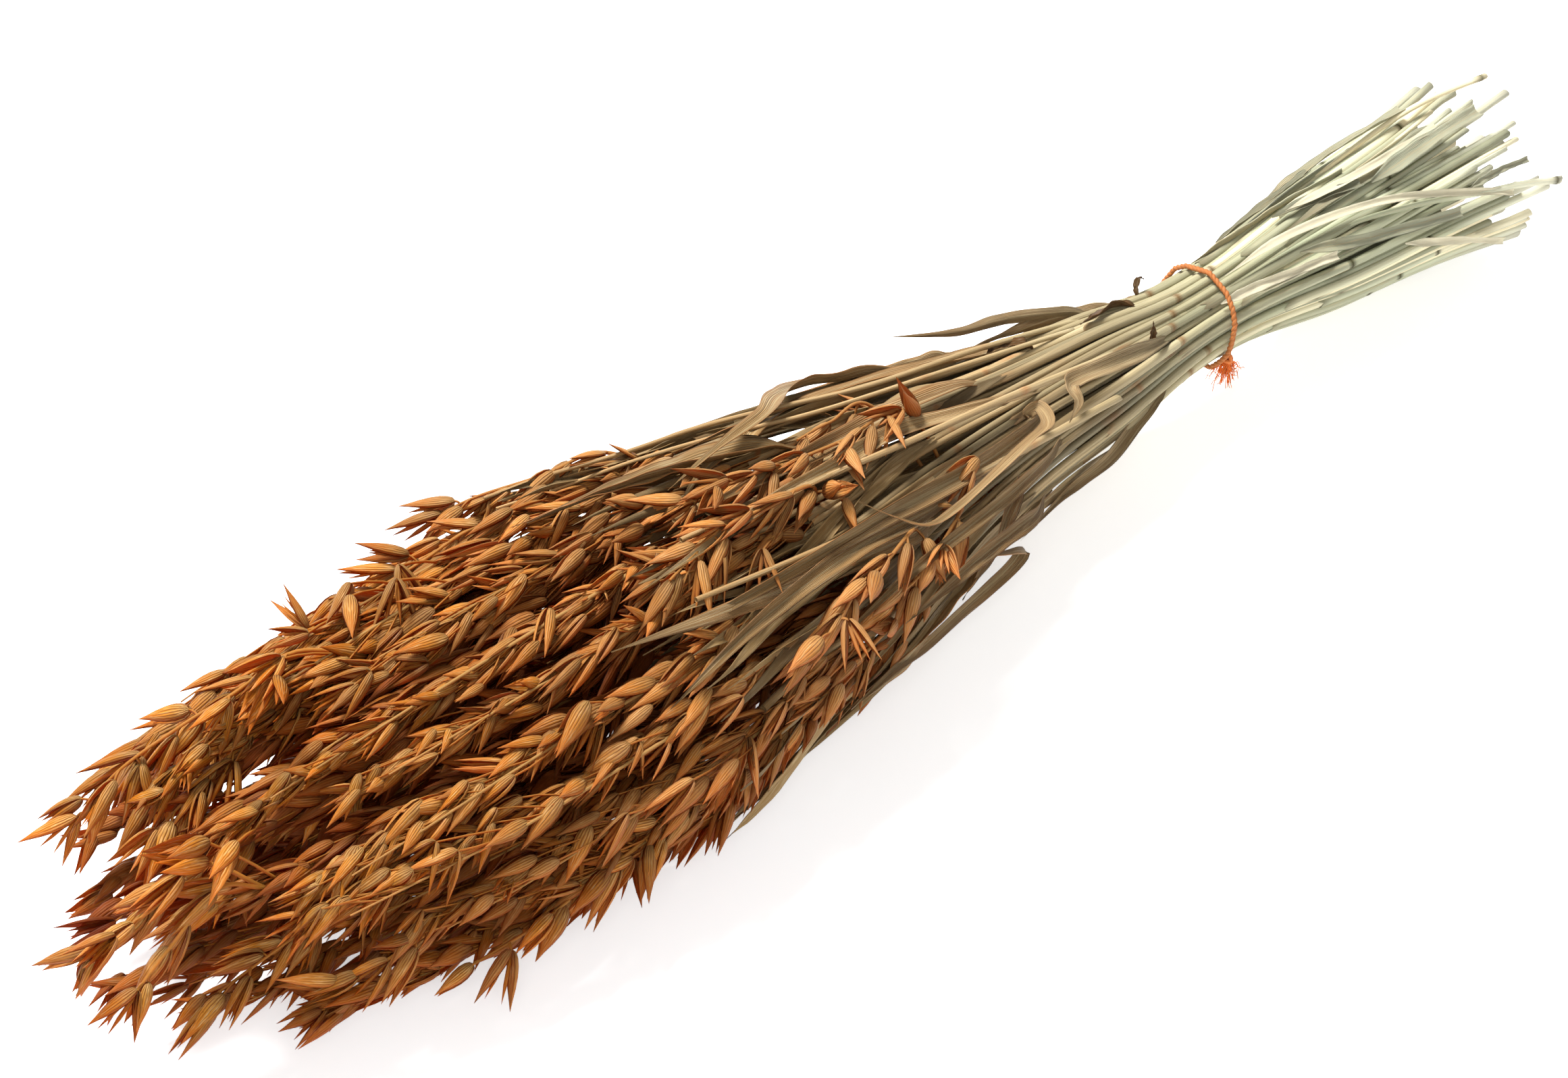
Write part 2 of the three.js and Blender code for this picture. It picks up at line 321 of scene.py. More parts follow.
def outside_table(half_width=5.0):
    """Distance from the centre line to the outside of the bundle, for each grid_x and side."""
    table = np.zeros((len(grid_x), len(SIDES)))
    out = np.stack([np.cos(SIDES), np.sin(SIDES)], 1)
    for i, x in enumerate(grid_x):
        for stalk in stalks:
            if not stalk.tip <= x <= stalk.cut:
                continue
            place = stalk.at(x)[1:] - axis_at(x)[1:]
            radius = float(stalk.radius(x))
            off = np.abs(place[1] * out[:, 0] - place[0] * out[:, 1])
            table[i] = np.maximum(table[i], np.where(off < half_width + radius, out @ place + radius, 0))
    weights = [0.1, 0.2, 0.4, 0.2, 0.1]
    soft = np.apply_along_axis(lambda v: np.convolve(np.pad(v, 2, mode="edge"), weights, "valid"), 0, table)
    return (soft + np.roll(soft, 1, 1) + np.roll(soft, -1, 1)) / 3


outside = outside_table()


def surface(x, side):
    """Distance from the centre line to the outside of the bundle at x, on the given side in radians."""
    x, side = np.broadcast_arrays(np.asarray(x, float), np.asarray(side, float))
    i = np.clip((x - grid_x[0]) / (grid_x[1] - grid_x[0]), 0, len(grid_x) - 1.001)
    j = (side % (2 * np.pi)) / SIDE_STEP
    i0, j0 = i.astype(int), j.astype(int) % len(SIDES)
    fi, fj = i - i0, j - j.astype(int)
    j1 = (j0 + 1) % len(SIDES)
    low = outside[i0, j0] * (1 - fj) + outside[i0, j1] * fj
    high = outside[i0 + 1, j0] * (1 - fj) + outside[i0 + 1, j1] * fj
    return low * (1 - fi) + high * fi


def polar(points):
    """Distance from the centre line and side in radians of the given points."""
    offset = points[..., 1:] - axis_at(points[..., 0])[..., 1:]
    return np.hypot(offset[..., 0], offset[..., 1]), np.arctan2(offset[..., 1], offset[..., 0])


def square_to_x(angle):
    """Directions at right angles to the bundle's length, at the given angles round it."""
    return np.stack([np.zeros_like(angle), np.cos(angle), np.sin(angle)], -1)


def from_polar(x, distance, side):
    """The points at the given distances and sides of the centre line, and the directions out to them."""
    out = square_to_x(side)
    return axis_at(x) + out * distance[..., None], out


def outward_of(path):
    """The directions from the centre line out to the points of a path, square to the bundle's length."""
    out = path - axis_at(path[:, 0])
    out[:, 0] = 0
    return unit(out)


# ---- materials

def linear(red, green, blue):
    """A colour given as 0 to 255 screen values, as linear light."""
    value = np.array([red, green, blue]) / 255
    return tuple(np.where(value <= 0.04045, value / 12.92, ((value + 0.055) / 1.055) ** 2.4)) + (1.0,)


class Shader:
    """A small helper that adds nodes to a material and links them."""

    def __init__(self, name):
        self.material = bpy.data.materials.new(name)
        self.material.use_nodes = True
        self.nodes = self.material.node_tree.nodes
        self.links = self.material.node_tree.links
        self.surface = self.nodes["Principled BSDF"]
        self.output = self.nodes["Material Output"]

    def link(self, value, socket):
        """Links another node's output to a socket, or sets the socket to a plain value."""
        if isinstance(value, bpy.types.NodeSocket):
            self.links.new(value, socket)
        else:
            socket.default_value = value

    def node(self, kind, output, inputs, **settings):
        """Adds a node with these settings, links or sets its inputs, and gives one of its outputs."""
        node = self.nodes.new("ShaderNode" + kind)
        for name, setting in settings.items():
            setattr(node, name, setting)
        for socket, value in inputs.items():
            self.link(value, node.inputs[socket])
        return node.outputs[output]

    def values(self, *names):
        """The named values that the mesh carries at its points."""
        return [self.node("Attribute", "Fac", {}, attribute_name=name) for name in names]

    def math(self, operation, a, b=0.0, c=0.0, clamp=False):
        return self.node("Math", 0, {0: a, 1: b, 2: c}, operation=operation, use_clamp=clamp)

    def times(self, a, b):
        return self.math("MULTIPLY", a, b)

    def scaled(self, value, factor, start):
        """The start plus the value times the factor."""
        return self.math("MULTIPLY_ADD", value, factor, start)

    def mix(self, factor, a, b):
        return self.node("Mix", 2, {"Factor": factor, 6: a, 7: b}, data_type="RGBA", clamp_factor=True)

    def paint(self, body, mask, strength, *colour):
        """The body's colour with another one laid over it, as much as the mask times the strength."""
        return self.mix(self.times(mask, strength), body, linear(*colour))

    def shade(self, colour, amount):
        """A colour made lighter or darker by a number."""
        return self.node("VectorMath", 0, {0: colour, "Scale": amount}, operation="SCALE")

    def ramp(self, factor, *stops):
        """Colours that follow the factor. Each stop is its place and its red, green and blue."""
        node = self.nodes.new("ShaderNodeValToRGB")
        ramp = node.color_ramp
        while len(ramp.elements) < len(stops):
            ramp.elements.new(0.5)
        for element, (place, *colour) in zip(ramp.elements, stops):
            element.position = place
            element.color = linear(*colour)
        self.link(factor, node.inputs["Fac"])
        return node.outputs["Color"]

    def over(self, value, start, end):
        """A smooth step from 0 at start to 1 at end."""
        inputs = {"Value": value, "From Min": start, "From Max": end}
        return self.node("MapRange", "Result", inputs, interpolation_type="SMOOTHSTEP")

    def grain(self, along, across, tone, scale_along, scale_across):
        """Streaks that run along a piece, from its own two coordinates. The tone sets pieces apart."""
        x, y, z = self.times(along, scale_along), self.times(across, scale_across), self.times(tone, 37.0)
        place = self.node("CombineXYZ", 0, {0: x, 1: y, 2: z})
        return self.node("TexNoise", "Fac", {"Scale": 1.0, "Detail": 3.0, "Vector": place})

    def facing_down(self):
        """1 on the surfaces that face the floor, 0 on those that face up: the mask of painted shade on the
        undersides.
        """
        normal = self.node("NewGeometry", "Normal", {})
        return self.over(self.node("SeparateXYZ", "Z", {0: normal}), 0.55, -0.35)

    def ribs(self, across, count, sharpness):
        """Parallel ribs: 0 on the ridges and 1 in the narrow grooves between them."""
        wave = self.math("ABSOLUTE", self.math("SINE", self.times(across, math.pi * count / 2)))
        return self.math("POWER", wave, sharpness)

    def bump(self, height, distance, strength):
        normal = self.node("Bump", 0, {"Distance": distance, "Strength": strength, "Height": height})
        self.link(normal, self.surface.inputs["Normal"])

    def finish(self, colour, roughness, specular=0.3, glow=0.0, glow_colour=None):
        """Sets colour, roughness and shine; glow is the share of light that passes through a thin piece."""
        self.link(colour, self.surface.inputs["Base Color"])
        self.link(roughness, self.surface.inputs["Roughness"])
        self.surface.inputs["Specular IOR Level"].default_value = specular
        if glow:
            through = self.node("BsdfTranslucent", 0, {"Color": glow_colour or colour})
            mixed = self.node("MixShader", 0, {0: glow, 1: self.surface.outputs[0], 2: through})
            self.link(mixed, self.output.inputs["Surface"])
        return self.material


def husk_material():
    """Papery glumes: olive at the base, golden brown in the middle, orange at the tip, with fine ribs whose
    dark grooves are partly their own colour and partly painted shade. Their orange edges are partly painted
    glow, and faces turned down and spikelets deep in the bundle get painted shade in dark orange.
    """
    s = Shader("husk")
    along, across, tone, tint, deep, reach = s.values("along", "across", "tone", "tint", "deep", "reach")
    faded = s.over(reach, 0.88, 0.55)
    body = s.ramp(
        along,
        (0.00, 168, 140, 82),
        (0.12, 184, 144, 74),
        (0.40, 212, 140, 40),
        (0.75, 216, 126, 24),
        (1.00, 210, 110, 14),
    )
    body = s.paint(body, tint, 0.6, 176, 142, 84)
    streak = s.grain(along, across, tone, 4.0, 9.0)
    groove_and_shade = s.times(s.ribs(across, 9, 5.0), s.math("SUBTRACT", 1.15, along, clamp=True))
    # dark rib grooves: partly the ribs' own colour and partly painted shade in the creases
    body = s.paint(body, groove_and_shade, 0.8, 112, 54, 6)
    body = s.mix(s.over(streak, 0.5, 0.72), body, linear(222, 178, 112))
    # orange along the thin edges: partly the husk's own colour and partly painted glow of light passing through
    # them
    rim = s.math("POWER", s.math("ABSOLUTE", across), 6.0)
    body = s.paint(body, rim, 0.45, 218, 126, 34)
    body = s.paint(body, faded, 0.4, 208, 158, 108)
    # painted shade: faces turned towards the floor are darkened to a deep orange
    body = s.paint(body, s.facing_down(), 0.65, 170, 80, 4)
    # painted shade: dark orange on spikelets deep inside the bundle and on its underside
    body = s.paint(body, deep, 0.9, 124, 54, 3)
    body = s.shade(body, s.scaled(tone, 0.5, 0.66))
    s.bump(s.math("ADD", s.times(groove_and_shade, -0.8), s.times(streak, 0.4)), 0.0004, 0.8)
    through = s.mix(faded, linear(224, 112, 8), linear(206, 120, 44))
    return s.finish(body, s.scaled(streak, 0.2, 0.42), specular=0.2, glow=0.38, glow_colour=through)


def straw_material():
    """Straw and sheaths: pale green at the cut end, tan and olive in the middle, golden at the head."""
    s = Shader("straw")
    along, across, tone, knot, leaf, reach = s.values("along", "across", "tone", "knot", "leaf", "reach")
    stem = s.ramp(
        reach,
        (0.00, 232, 228, 204),
        (0.10, 203, 206, 176),
        (0.20, 181, 186, 155),
        (0.32, 184, 172, 134),
        (0.45, 188, 160, 116),
        (0.62, 180, 144, 96),
        (0.80, 166, 124, 70),
        (1.00, 172, 112, 48),
    )
    leafy = s.ramp(
        reach,
        (0.00, 206, 202, 168),
        (0.14, 184, 186, 158),
        (0.27, 174, 168, 136),
        (0.42, 164, 138, 98),
        (0.60, 156, 126, 82),
        (0.80, 146, 114, 68),
        (1.00, 150, 98, 44),
    )
    near_cut = s.math("SUBTRACT", 1.0, s.over(reach, 0.2, 0.42))
    stem = s.paint(stem, s.over(tone, 0.7, 0.9), near_cut, 238, 226, 190)
    stem = s.paint(stem, s.over(tone, 0.4, 0.1), near_cut, 150, 164, 138)
    grey = s.times(s.over(tone, 0.5, 0.2), s.over(reach, 0.75, 0.5))
    stem = s.paint(stem, grey, 0.5, 166, 158, 124)
    body = s.mix(leaf, stem, leafy)
    streak = s.grain(along, across, tone, 14.0, 9.0)
    fine = s.grain(along, across, tone, 5.0, 26.0)
    patch = s.grain(along, 0.0, tone, 11.0, 0.0)
    body = s.paint(body, s.over(streak, 0.5, 0.75), 0.5, 214, 196, 156)
    calm = s.scaled(near_cut, -0.3, 0.5)
    body = s.paint(body, s.over(fine, 0.52, 0.72), calm, 92, 76, 50)
    body = s.paint(body, s.over(patch, 0.66, 0.74), s.over(reach, 0.2, 0.5), 170, 112, 62)
    ring = s.mix(near_cut, linear(176, 112, 60), linear(66, 62, 34))
    # the knot value darkens towards the ring colour: the knots' own rings, the sheath mouths, and painted shade
    # on the inner wall of the hollow cut ends
    body = s.mix(s.times(knot, s.scaled(near_cut, 0.45, 0.55)), body, ring)
    lift = s.times(near_cut, s.scaled(tone, -0.25, 0.36))
    body = s.shade(body, s.math("ADD", s.scaled(tone, 0.64, 0.41), lift))
    s.bump(s.math("ADD", streak, fine), 0.0003, 0.6)
    return s.finish(body, s.scaled(streak, 0.3, 0.4), specular=0.2, glow=0.12)


def leaf_material():
    """Dry blades: grey-olive and brown, with fine parallel veins, a pale midrib and orange edges."""
    s = Shader("leaf")
    along, across, tone, tint, reach = s.values("along", "across", "tone", "tint", "reach")
    olive = s.ramp(
        reach,
        (0.00, 214, 212, 184),
        (0.14, 190, 192, 164),
        (0.27, 178, 172, 140),
        (0.45, 186, 152, 106),
        (0.60, 182, 144, 92),
        (1.00, 150, 116, 66),
    )
    brown = s.math("MULTIPLY", tint, s.over(reach, 0.0, 0.35), clamp=True)
    body = s.mix(brown, olive, linear(160, 112, 64))
    streak = s.grain(along, across, tone, 7.0, 8.0)
    fine = s.grain(along, across, tone, 3.0, 34.0)
    cloud = s.grain(along, across, tone, 5.0, 1.2)
    veins = s.ribs(across, 15, 2.0)
    worn = s.scaled(s.over(reach, 0.15, 0.35), 0.75, 0.25)
    body = s.paint(body, s.over(cloud, 0.45, 0.7), s.times(worn, 0.45), 112, 90, 60)
    body = s.paint(body, veins, s.times(worn, 0.3), 66, 50, 28)
    body = s.paint(body, s.over(streak, 0.48, 0.7), 0.5, 210, 190, 148)
    body = s.paint(body, s.over(fine, 0.5, 0.68), s.times(worn, 0.45), 74, 54, 30)
    edge = s.math("ABSOLUTE", across)
    midrib = s.math("SUBTRACT", 1.0, s.over(edge, 0.02, 0.14))
    body = s.paint(body, midrib, 0.45, 206, 184, 140)
    cream = s.math("MULTIPLY", tint, -0.8, clamp=True)
    body = s.mix(cream, body, linear(252, 242, 212))
    rim = s.times(s.math("POWER", edge, 12.0), s.over(reach, 0.35, 0.6))
    body = s.paint(body, rim, 0.4, 190, 112, 56)
    body = s.shade(body, s.scaled(tone, 0.56, 0.66))
    s.bump(s.math("ADD", s.times(veins, -0.6), s.math("ADD", streak, fine)), 0.0005, 0.8)
    return s.finish(body, s.scaled(streak, 0.25, 0.34), specular=0.25, glow=0.18)


def tie_material():
    """Dyed twine: dull orange, brighter where it is frayed."""
    s = Shader("tie")
    along, across, tone = s.values("along", "across", "tone")
    streak = s.grain(along, across, tone, 60.0, 8.0)
    body = s.mix(streak, linear(142, 82, 38), linear(188, 118, 64))
    body = s.mix(tone, body, linear(244, 122, 44))
    s.bump(streak, 0.0003, 0.7)
    return s.finish(body, s.scaled(streak, 0.3, 0.55))


HUSK = husk_material()
STRAW = straw_material()
LEAF = leaf_material()
TIE = tie_material()


# ---- spikelets

# A glume's rows from base to tip, and the places across it of its outer and its inner skin.
ROWS = np.array([0.0, 0.05, 0.14, 0.28, 0.45, 0.64, 0.83, 1.0])
OUTER = np.linspace(-1, 1, 6)
INNER = np.linspace(1, -1, 4)[1:-1]
GLUME_WRAP = math.radians(88)


def boat_width(t):
    """Width of a glume from its base (0) to its pointed tip (1), as a share of its widest."""
    rise = np.sqrt(np.clip(1 - (1 - t / 0.3) ** 2, 0, 1))
    fall = np.cos(np.clip((t - 0.3) / 0.7, 0, 1) * np.pi / 2) ** 1.3
    return np.clip(np.where(t < 0.3, rise, fall), 0.02, 1)


def column(values):
    """One value for each copy of a grid."""
    return np.asarray(values, float)[:, None, None]


def add_glumes(mesh, base, axes, length, width, depth, gape, tone, tint, deep):
    """Boat-shaped papery shells. The axes are the forward, sideways and outward directions of each."""
    s = np.concatenate([OUTER, INNER])[None, None]
    skin = np.concatenate([np.zeros(len(OUTER)), np.ones(len(INNER))])[None, None]
    t = ROWS[None, :, None]
    shape = boat_width(t)
    long, wide, tall, swing = (column(v) for v in (length, width, depth, gape))
    forward = long * t + 0 * s
    sideways = wide * shape * np.sin(s * GLUME_WRAP) / math.sin(GLUME_WRAP)
    bulge = (np.cos(s * GLUME_WRAP) - math.cos(GLUME_WRAP)) / (1 - math.cos(GLUME_WRAP))
    outward = tall * shape**0.8 * bulge - 0.3 * skin * shape + swing * 0.12 * long * t**2
    turned_forward = forward * np.cos(swing) - outward * np.sin(swing)
    turned_outward = forward * np.sin(swing) + outward * np.cos(swing)
    local = np.stack([turned_forward, sideways, turned_outward], -1)
    grid = base[:, None, None] + np.einsum("nrck,nkj->nrcj", local, axes)
    mesh.add(grid, along=t, across=s, tone=column(tone), tint=column(tint), deep=column(deep))


def add_florets(mesh, base, axes, length, radius, tone, deep):
    """Slim closed grains that lie between the glumes."""
    t = np.array([0.0, 0.2, 0.62, 1.0])[None, :, None]
    angle = round_angles(4)[None, None]
    girth = column(radius) * np.clip(np.sin(np.pi * t**0.7), 0.04, 1)
    local = np.stack([column(length) * t + 0 * angle, girth * np.cos(angle), girth * np.sin(angle)], -1)
    grid = base[:, None, None] + np.einsum("nrck,nkj->nrcj", local, axes)
    mesh.add(grid, along=0.4 + 0.6 * t, across=angle / np.pi - 1, tone=column(tone), deep=column(deep))


def add_spikelets(mesh, base, forward, roll, size, gape, deep):
    """Spikelets at the given bases: two glumes each, with two florets between them."""
    n = len(base)
    forward = unit(forward)
    helper = unit(np.cross(forward, np.array([0.1, 0.2, 1.0])))
    other = np.cross(forward, helper)
    out = np.cos(roll)[:, None] * helper + np.sin(roll)[:, None] * other
    side = np.cross(out, forward)
    length = rng.uniform(*SPIKELET["length"], n) * size
    width = SPIKELET["width"] * size * rng.uniform(0.8, 1.12, n)
    depth = SPIKELET["depth"] * size * rng.uniform(0.8, 1.15, n)
    tone = rng.uniform(0, 1, n)
    tint = rng.uniform(0, 1, n) ** 2
    for flip in (1, -1):
        axes = np.stack([forward, side * flip, out * flip], 1)
        shade = np.clip(tone + rng.uniform(-0.2, 0.2, n), 0, 1)
        long = length * rng.uniform(0.92, 1.0, n)
        add_glumes(mesh, base, axes, long, width, depth, gape / 2, shade, tint, deep)
    axes = np.stack([forward, side, out], 1)
    for flip in (1, -1):
        lean = gape * rng.uniform(-0.1, 0.35, n) * flip
        turned = axes.copy()
        turned[:, 0] = unit(axes[:, 0] + np.tan(lean)[:, None] * axes[:, 2])
        start = base + forward * (length * 0.06)[:, None] + out * (depth * 0.18 * flip)[:, None]
        long = length * rng.uniform(0.66, 0.86, n)
        add_florets(mesh, start, turned, long, width * 0.34, tone * 0.6, deep)


def add_hairs(mesh, start, bend, end, radius):
    """Thin curved pedicels from start to end, each bent towards its middle point."""
    t = np.linspace(0, 1, 4)[None, :, None]
    path = (1 - t) ** 2 * start[:, None] + 2 * t * (1 - t) * bend[:, None] + t**2 * end[:, None]
    tangent = unit(np.gradient(path, axis=1))
    across = unit(np.cross(tangent, np.array([0.3, 0.1, 1.0])))
    over = np.cross(tangent, across)
    mesh.add(ring_grid(path, across, over, radius, round_angles(3)), along=0.5, tone=0.1, tint=0.5)


# ---- panicles

HUSK_VALUES = ("along", "across", "tone", "tint", "deep")
JOIN = 0.6  # how far a pedicel runs into the base of its spikelet


def shade_depth_of(points):
    """0 for points on the outside of the bundle, 1 for points well inside it, and up to 0.6 on its underside:
    the mask of the husk's painted shade.
    """
    distance, side = polar(points)
    inside = np.clip((0.97 - distance / np.maximum(surface(points[:, 0], side), 5)) / 0.42, 0, 1)
    # painted shade also on the bundle's lower side
    underside_shade = np.clip((0.35 - np.sin(side)) / 1.2, 0, 0.6)
    return np.maximum(inside, underside_shade)


def add_spray(mesh, route, count, size):
    """A loose branch of a panicle, whose spikelets hang from a thin curved rachis."""
    path, t = route_path(route, 30)
    mesh.add(tube_grid(path, np.linspace(0.8, 0.45, len(t)), 5), along=0.4, tone=0.1, tint=0.5)
    place = 0.16 + 0.84 * (np.arange(count) + rng.uniform(0.2, 0.8, count)) / count
    root = np.stack([np.interp(place, t, path[:, k]) for k in range(3)], 1)
    heading = unit(np.stack([np.interp(place, t[:-1], np.diff(path[:, k])) for k in range(3)], 1))
    drop = np.stack([0 * place, 0 * place, -rng.uniform(0.05, 0.8, count)], 1)
    stray = rng.normal(0, 0.32, (count, 3))
    forward = unit(heading + drop + stray)
    base = root + (forward * 0.5 + stray) * rng.uniform(1.5, 4.5, (count, 1))
    gape = np.radians(rng.choice([8, 18, 34, 52], count, p=[0.4, 0.3, 0.2, 0.1]))
    roll = rng.uniform(0, 2 * np.pi, count)
    size = size * rng.uniform(0.85, 1.08, count)
    add_spikelets(mesh, base, forward, roll, size, gape, np.zeros(count))
    add_hairs(mesh, root, (root + base) / 2 + [0, 0, 1.0], base + forward * JOIN, 0.55)


def make_panicle(stalk):
    """The rachis, pedicels and spikelets of one stalk, in the space of its CAD spindle."""
    mesh = Mesher(HUSK_VALUES)
    count = SPIKELETS_PER_STALK[stalk.layer]
    length = stalk.neck - stalk.tip
    u = (np.arange(count) + rng.uniform(0.1, 0.9, count)) / count
    u = 0.02 + 0.98 * u**0.88
    x = stalk.neck - 4 - u * (length - 18)
    centre = stalk.at(x)
    heading = unit(stalk.at(x - 4) - centre)
    turn = np.arange(count) * GOLDEN_ANGLE + rng.uniform(-0.5, 0.5, count)
    radial = square_to_x(turn)
    room = np.clip(stalk.radius(x - 10), 2.5, 12)
    spread = room * rng.uniform(0.15, 0.9, count)
    base = centre + radial * spread[:, None]
    base[:, 2] = np.maximum(base[:, 2], 3.0)
    distance, side = polar(base)
    outward = square_to_x(side)
    # how far into the bundle's shade each spikelet lies: it sets their painted shade and keeps inner spikelets
    # from hanging
    deep = shade_depth_of(base)
    splay = np.radians(rng.normal(12, 10, count))
    hanging = np.clip((0.85 - np.sin(side)) / 0.8, 0, 1) * (1 - deep)
    drop = np.clip(rng.normal(0.1 + 0.4 * hanging, 0.22, count), 0, 1) * (1 - 0.6 * deep)
    drop = drop * np.clip(base[:, 2] / 30, 0.1, 1)
    forward = heading + radial * np.tan(splay)[:, None] + rng.normal(0, 0.15, (count, 3))
    forward = unit(forward + outward * (0.06 * (1 - deep))[:, None] - np.array([0, 0, 1.0]) * drop[:, None])
    slant = forward - heading * np.sum(forward * heading, 1, keepdims=True)
    inset = 6.0 * (1 - deep) * np.clip((-130 - x) / 60, 0, 1) * np.clip((np.sin(side) + 1) / 0.2, 0, 1)
    base = base - slant * 9.0 - outward * inset[:, None]
    base[:, 2] = np.maximum(base[:, 2], 2.5)
    loose = rng.uniform(0, 1, count)
    shut, ajar, wide = (rng.uniform(*degrees, count) for degrees in ((3, 12), (14, 32), (36, 62)))
    gape = np.radians(np.where(loose < 0.5, shut, np.where(loose < 0.88, ajar, wide)))
    size = rng.uniform(0.78, 1.1, count) * (1 - 0.1 * u) * stalk.vigour
    add_spikelets(mesh, base, forward, rng.uniform(0, 2 * np.pi, count), size, gape, deep)
    root = stalk.at(np.minimum(x + rng.uniform(10, 28, count), stalk.neck + 6))
    middle = (root + base) / 2 + radial * (spread * 0.35)[:, None]
    add_hairs(mesh, root, middle, base + forward * JOIN, 0.42)
    rachis = stalk.at(np.linspace(stalk.neck + 8, stalk.tip + 24, 24))
    mesh.add(tube_grid(rachis, np.linspace(1.0, 0.3, len(rachis)), 5), along=0.15, tone=0.4, tint=0.8)
    for route, number, scale in stalk.sprays:
        add_spray(mesh, route, number, scale)
    if stalk.open_spikelets:
        places, ways, degrees, sizes = (np.array(part, float) for part in zip(*stalk.open_spikelets))
        ways = unit(ways)
        roll = rng.uniform(0, 2 * np.pi, len(places))
        add_spikelets(mesh, places, ways, roll, sizes, np.radians(degrees), np.zeros(len(places)))
        stem = stalk.at(places[:, 0] + 16)
        add_hairs(mesh, stem, (stem + places) / 2 + [0, 0, 2.0], places + ways * JOIN, 0.6)
    piece = mesh.build(stalk.name + "_heads", HUSK)
    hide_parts(stalk.name)


def nearest_stalk(place, after=12.0):
    """The stalk whose head passes closest to a place, a little nearer to its root."""
    x = place[0] + after
    return min(
        (stalk for stalk in stalks if stalk.tip + 20 < x < stalk.neck),
        key=lambda stalk: np.linalg.norm(stalk.at(x)[1:] - place[1:]),
    )


for stalk in stalks:
    stalk.vigour = rng.uniform(0.88, 1.1)
    stalk.sprays, stalk.open_spikelets = [], []
for route, number, size in SPRAYS:
    owner = nearest_stalk(np.array(route[0], float))
    start = owner.at(route[0][0] + 14)
    owner.sprays.append(((tuple(start),) + route, number, size))
for row in OPEN_SPIKELETS:
    nearest_stalk(np.array(row[0], float)).open_spikelets.append(row)


# ---- straws and blades

STRAW_VALUES = ("along", "across", "tone", "knot", "leaf")


def add_culm(mesh, path, radius, knots, tone, sides=CULM_SIDES):
    """A hollow straw along a path that starts at its cut end, with a swollen dark ring at each knot."""
    swell = np.zeros(len(path))
    for knot in knots:
        swell = np.maximum(swell, np.exp(-(((path[:, 0] - knot) / 1.6) ** 2)))
    outer = tube_grid(path, radius * (1 + 0.12 * swell), sides)
    inner = tube_grid(path[:LIP_ROWS], radius[:LIP_ROWS] - 0.45, sides)[::-1]
    slant = rng.uniform(-0.7, 0.7, 2)
    for k, fade in ((0, 1.0), (1, 0.4)):
        lift = (outer[k, :, 1] - path[k, 1]) * slant[0] + (outer[k, :, 2] - path[k, 2]) * slant[1]
        outer[k, :, 0] += lift * fade
        inner[LIP_ROWS - 1 - k, :, 0] += lift * fade
    length = np.concatenate([[0], np.cumsum(np.linalg.norm(np.diff(path, axis=0), axis=1))])
    along = np.concatenate([length[:LIP_ROWS][::-1], length]) / 400.0
    # the inner wall of the hollow cut end takes a knot value of 0.6, painted shade inside the hollow; the
    # swellings give the knots' own dark rings
    dark = np.concatenate([np.full(LIP_ROWS, 0.6), swell])
    mesh.add(
        np.concatenate([inner, outer]),
        along=along[None, :, None],
        across=round_places(sides),
        tone=tone,
        knot=dark[None, :, None],
    )


def add_sheath(mesh, path, radius, tone, sides=CULM_SIDES):
    """A leaf sheath that wraps a straw, with a ragged, slightly flared mouth."""
    t = np.linspace(0, 1, len(path))
    girth = radius + 0.12 + 0.3 * np.sin(np.pi * np.clip(t * 1.2, 0, 1)) + 0.2 * np.clip((t - 0.9) * 10, 0, 1)
    grid = tube_grid(path, girth, sides, turn=rng.uniform(0, 6))
    grid[-1, :, 0] += rng.uniform(-3, 3, sides)
    mouth = 0.5 * np.clip((t - 0.94) / 0.06, 0, 1)
    along = t[None, :, None] * 0.25
    mesh.add(grid, along=along, across=round_places(sides), tone=tone, leaf=0.7, knot=mouth[None, :, None])


def blade_profile(t, blunt=0.0):
    """Width of a blade from its root (0) to its tip (1), as a share of its widest."""
    rise = np.clip(0.15 + 5 * t, 0, 1)
    fall = np.clip(1 - np.clip((t - 0.35) / 0.65, 0, 1) ** 1.7, 0.04, 1)
    return rise * np.maximum(fall, blunt)


def add_strip(mesh, path, out, roll, width, cup, profile, skin=0.13, fold=0.0, **values):
    """A thin blade along a path; its flat side faces the outward directions, turned by roll about the path."""
    t = np.linspace(0, 1, len(path))
    tangent = unit(np.gradient(path, axis=0))
    out = unit(out - tangent * np.sum(out * tangent, 1, keepdims=True))
    side = np.cross(out, tangent)
    across = np.cos(roll)[:, None] * side + np.sin(roll)[:, None] * out
    face = np.cross(tangent, across)
    half = width / 2 * profile * (1 + 0.05 * np.sin(t * 31 + width))
    s = np.linspace(-1, 1, 7)
    ripple = 0.3 * np.sin(t * 14 + width * 3) + 0.15 * np.sin(t * 37 + width)
    sheets = []
    for k, lift in ((s, skin), (s[::-1], -skin)):
        bend = cup * half[:, None] * (k[None] ** 2 - 0.4) + ripple[:, None] * k[None]
        bend = bend + fold * half[:, None] * (np.abs(k[None]) - 0.5)
        sideways = half[:, None] * k[None]
        upward = bend + lift * np.minimum(1, half[:, None])
        sheets.append(path[:, None] + across[:, None] * sideways[..., None] + face[:, None] * upward[..., None])
    columns = np.concatenate([s, s[::-1]])[None, None]
    mesh.add(np.concatenate(sheets, 1), along=t[None, :, None], across=columns, **values)


